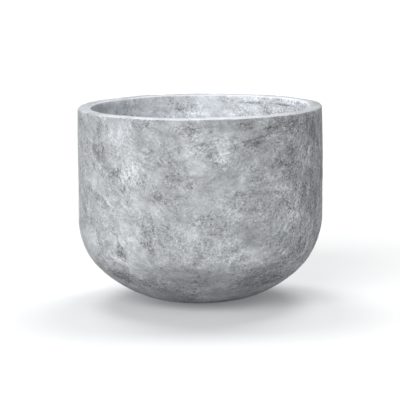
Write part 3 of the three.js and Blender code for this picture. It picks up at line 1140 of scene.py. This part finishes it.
    def lay_strokes(self):
        """Pale and dark brush strokes in several layers, which also mark the surface."""
        look = self.look
        on_base = self.z.ramp(*BASE_Z)
        under_rim = self.z.ramp(*UNDER_RIM_Z) * self.x.ramp(*PAST_MIDDLE_X)
        directions = self.stroke_directions(on_base, under_rim)
        level = on_base.most(under_rim * 0.7)
        on_wall = self.on_face - self.inside * 0.5
        evenness = self.x.ramp(*EVEN_X).either(self.x.ramp(*LEFT_X, 0.60, 0.50), 1.15)
        often = self.dark.ramp(0.0, 0.5) * 0.7 + 0.3
        self.mark = 0.0
        for number, layer in enumerate(STROKE_LAYERS):
            patch, width, stretch, free, levelled, bend, shift = layer
            stroke = self.place.effect(
                "Brush Strokes", Patch=patch * look.stroke_patch, Width=width * look.stroke_width,
                Length=stretch * look.stroke_length, Spread=level.either(free, levelled),
                Bend=bend, Shift=shift, **directions,
            )
            shown = stroke["Cover"] * on_wall * evenness
            seldom = self.clouds(Size=0.05, Detail=2.0, Low=0.40, High=0.62, Shift=11.0 + number)
            pale = stroke["Stroke"].ramp(0.02, 0.20)
            self.lay(look.wash_and_light, pale * shown * seldom * look.pale_strokes)
            deep = stroke["Stroke"].ramp(-0.02, -0.20)
            self.lay(look.dark, deep * shown * often * look.dark_strokes)
            self.mark = stroke["Stroke"] * shown + self.mark

    def lay_curls(self):
        """Curled strokes, thick in some places and missing in others, and dark specks, more of them
        towards the right, partly as painted shade.
        """
        look = self.look
        for number, (cement, size) in enumerate(((look.wash_and_light, 1.0), (look.dark, 0.8))):
            curl = self.place.effect(
                "Curled Strokes", Size=size * look.curl_size, Shift=1.3 * number
            )["Line"]
            often = self.clouds(Size=0.045, Detail=2.0, Low=0.46, High=0.62, Shift=4.4 + number)
            self.lay(cement, curl * often * self.on_face * look.curls)
        speck = self.clouds(Size=0.007, Detail=2.0, Roughness=0.8, Low=0.52, High=0.62, Shift=6.1)
        # More dark specks towards the right: partly painted shade on the side turned from the light.
        specked = self.dark.ramp(0.0, 0.6) * 0.45 + 0.06 + self.to_right * 0.16
        self.lay(look.dark, speck * specked * self.on_face)

    def lay_tone(self):
        """Mottling, marks, grain and pits, which make the colour paler or darker, and a faint
        green tint. The grain is strongest where the surface is busy. Returns the surface's height
        in metres."""
        look = self.look
        mottle = self.place.noise(1 / look.mottle_size, 4.0, 0.72, distortion=0.8) - 0.5
        grain, pit = self.place.effect("Fine Grain", Size=look.grain_size, Pit_Size=0.25).values()
        busy = self.clouds(Size=0.055, Detail=3.0, Low=0.42, High=0.62, Shift=7.7)
        busy = busy.most(self.dark.ramp(0.0, 0.5)).most(self.to_right * 0.9)
        strength = busy.either(0.40 * look.grain, 1.6 * look.grain)
        strength += self.to_right * (0.45 * look.grain)
        tone = self.mark * look.marks + mottle * look.mottle + grain * strength - pit * 0.3
        self.colour = self.colour.toned(tone * self.on_face + 1.0)
        moss = self.clouds(Size=0.03, Low=0.60, High=0.74, Shift=1.9)
        self.lay(look.moss, moss * self.outside * 0.35)
        return self.mark * MARK_HEIGHT + grain * GRAIN_HEIGHT - pit * PIT_DEPTH


def concrete_material(shape, look):
    """Cast concrete: pale clouds and dark blotches, washed pale and darkened in places, with painted
    light and painted shade on the rim and inside and painted shade low on the base, brushed in
    patches that each have their own direction, with a fine grain and scattered pits."""
    material, tree, shader = new_material("concrete")
    finish = ConcreteFinish(tree, shape, look)
    finish.lay_clouds()
    finish.lay_washes()
    finish.lay_strokes()
    finish.lay_curls()
    height = finish.lay_tone()
    finish.colour.into(shader.inputs["Base Color"])
    finish.dark.ramp(0.0, 1.0, 0.92, 0.76).into(shader.inputs["Roughness"])
    shader.inputs["Specular IOR Level"].default_value = 0.3
    set_bump(shader, height, 0.7)
    return material


# ---- Stage ----

FLOOR_HALF = 60.0
SENSOR_WIDTH = 36.0  # in millimetres, as the lens
NEAREST, FARTHEST = 0.1, 200.0  # that the camera sees


def lay_floor(look):
    """A level square far larger than the view."""
    half = FLOOR_HALF
    corners = [(-half, -half, 0), (half, -half, 0), (half, half, 0), (-half, half, 0)]
    floor = mesh_object("floor", corners, [[0, 1, 2, 3]], floor_material(look))


def add_sun(name, strength, azimuth, elevation, softness):
    """A distant soft light from an azimuth, 0 at the viewer and growing to the right, and an
    elevation, both in degrees. softness is the angle that the light fills in the sky."""
    data = bpy.data.lights.new(name, "SUN")
    data.energy = strength
    data.angle = math.radians(softness)
    lamp = bpy.data.objects.new(name, data)
    a, e = math.radians(azimuth), math.radians(elevation)
    towards = Vector((math.sin(a) * math.cos(e), -math.cos(a) * math.cos(e), math.sin(e)))
    lamp.rotation_euler = towards.to_track_quat("Z", "Y").to_euler()
    bpy.context.scene.collection.objects.link(lamp)


def set_lights(look):
    """An even sky that looks white, two soft lights above and behind, whose shadows cross in front
    of the bowl, and a soft key from the left front."""
    world = bpy.data.worlds.new("sky")
    world.use_nodes = True
    tree = world.node_tree
    background = tree.nodes["Background"]
    background.inputs["Color"].default_value = (1.0, 1.0, 1.0, 1.0)
    seen_directly(tree).most(look.sky).into(background.inputs["Strength"])
    bpy.context.scene.world = world
    add_sun("rear_left", look.rear, azimuth=-150, elevation=60, softness=26)
    add_sun("rear_right", look.rear, azimuth=150, elevation=60, softness=26)
    add_sun("key", look.key, azimuth=-29, elevation=27, softness=50)


def place_camera(look, shape):
    """A long lens in front of the bowl, turned down by the pitch, and rolled so that the right
    side of the picture goes up. Its focal length in pixels is the picture's scale times its
    distance."""
    data = bpy.data.cameras.new("camera")
    data.sensor_width = SENSOR_WIDTH
    data.lens = SENSOR_WIDTH * look.pixels_per_metre * look.distance / FRAME_PIXELS
    data.clip_start, data.clip_end = NEAREST, FARTHEST
    camera = bpy.data.objects.new("camera", data)
    height = shape.top + look.rise * look.distance
    camera.matrix_world = (
        Matrix.Translation((-look.aside, -look.distance, height))
        @ Matrix.Rotation(math.pi / 2 - look.pitch, 4, "X")
        @ Matrix.Rotation(-look.roll, 4, "Z")
    )
    bpy.context.scene.collection.objects.link(camera)
    bpy.context.scene.camera = camera


# ---- Operators ----


def put_in_place(piece, node, body):
    """Puts a piece in place of a node, on its body."""
    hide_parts(node)
    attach(piece, body)


class PLANTER_OT_bowl(bpy.types.Operator):
    """Builds the concrete bowl with its finish"""

    bl_idname = "planter.bowl"
    bl_label = "Cast Bowl"

    def execute(self, context):
        scene = context.scene
        material = concrete_material(scene.planter_bowl, scene.planter_concrete)
        bowl = build_bowl(scene.planter_bowl, scene.planter_fittings, material)
        put_in_place(bowl, "bowl_shell", "planter")
        return {"FINISHED"}


class PLANTER_OT_sleeve(bpy.types.Operator):
    """Builds the plastic sleeve that lines the drain"""

    bl_idname = "planter.sleeve"
    bl_label = "Drain Sleeve"

    def execute(self, context):
        look = context.scene.planter_finish
        material = fitting_material("plastic", look.plastic, roughness=0.45, dust=look.dust)
        sleeve = build_sleeve(context.scene.planter_fittings, material)
        put_in_place(sleeve, "drain_sleeve", "planter")
        return {"FINISHED"}


class PLANTER_OT_plug(bpy.types.Operator):
    """Builds the rubber plug that lifts out of the drain"""

    bl_idname = "planter.plug"
    bl_label = "Drain Plug"

    def execute(self, context):
        look = context.scene.planter_finish
        material = fitting_material("plug_rubber", look.rubber, roughness=0.6, dust=look.dust)
        plug = build_plug(context.scene.planter_fittings, material)
        put_in_place(plug, "drain_plug", "plug")
        return {"FINISHED"}


class PLANTER_OT_pads(bpy.types.Operator):
    """Builds the rubber pads that the bowl stands on"""

    bl_idname = "planter.pads"
    bl_label = "Foot Pads"

    def execute(self, context):
        look = context.scene.planter_finish
        material = fitting_material("pad_rubber", look.rubber, roughness=0.7, dust=look.dust)
        for number, (node, centre) in enumerate(zip(PADS, pad_centres()), start=1):
            pad = build_pad(f"pad_{number}", centre, context.scene.planter_fittings, material)
            put_in_place(pad, node, "planter")
        return {"FINISHED"}


class PLANTER_OT_stage(bpy.types.Operator):
    """Lays the floor, sets the lights and places the camera"""

    bl_idname = "planter.stage"
    bl_label = "Floor, Light and Camera"

    def execute(self, context):
        look = context.scene.planter_stage
        lay_floor(look)
        set_lights(look)
        place_camera(look, context.scene.planter_bowl)
        return {"FINISHED"}


class PLANTER_PT_panel(bpy.types.Panel):
    """Sizes, colours and steps of the planter"""

    bl_idname = "PLANTER_PT_panel"
    bl_label = "Bowl Planter"
    bl_space_type = "VIEW_3D"
    bl_region_type = "UI"
    bl_category = "Planter"

    def draw(self, context):
        for name, group in PROPERTY_GROUPS.items():
            box = self.layout.box()
            for size in group.__annotations__:
                box.prop(getattr(context.scene, name), size)
        for operator in OPERATORS:
            self.layout.operator(operator.bl_idname)


PROPERTY_GROUPS = {
    "planter_bowl": BowlShape,
    "planter_fittings": FittingShape,
    "planter_concrete": ConcreteLook,
    "planter_finish": FittingLook,
    "planter_stage": StageLook,
}
OPERATORS = (
    PLANTER_OT_bowl,
    PLANTER_OT_sleeve,
    PLANTER_OT_plug,
    PLANTER_OT_pads,
    PLANTER_OT_stage,
)
CLASSES = (*PROPERTY_GROUPS.values(), *OPERATORS, PLANTER_PT_panel)


def register():
    """Registers the classes and hangs the property groups on the scene."""
    for kind in CLASSES:
        bpy.utils.register_class(kind)
    for name, group in PROPERTY_GROUPS.items():
        setattr(bpy.types.Scene, name, bpy.props.PointerProperty(type=group))


def unregister():
    """Takes the property groups and the classes away again."""
    for name in PROPERTY_GROUPS:
        delattr(bpy.types.Scene, name)
    for kind in reversed(CLASSES):
        bpy.utils.unregister_class(kind)


def main():
    """Builds everything in order."""
    register()
    bpy.context.scene.view_settings.view_transform = "Standard"
    bpy.ops.planter.bowl()
    bpy.ops.planter.sleeve()
    bpy.ops.planter.plug()
    bpy.ops.planter.pads()
    bpy.ops.planter.stage()


if __name__ == "__main__":
    main()
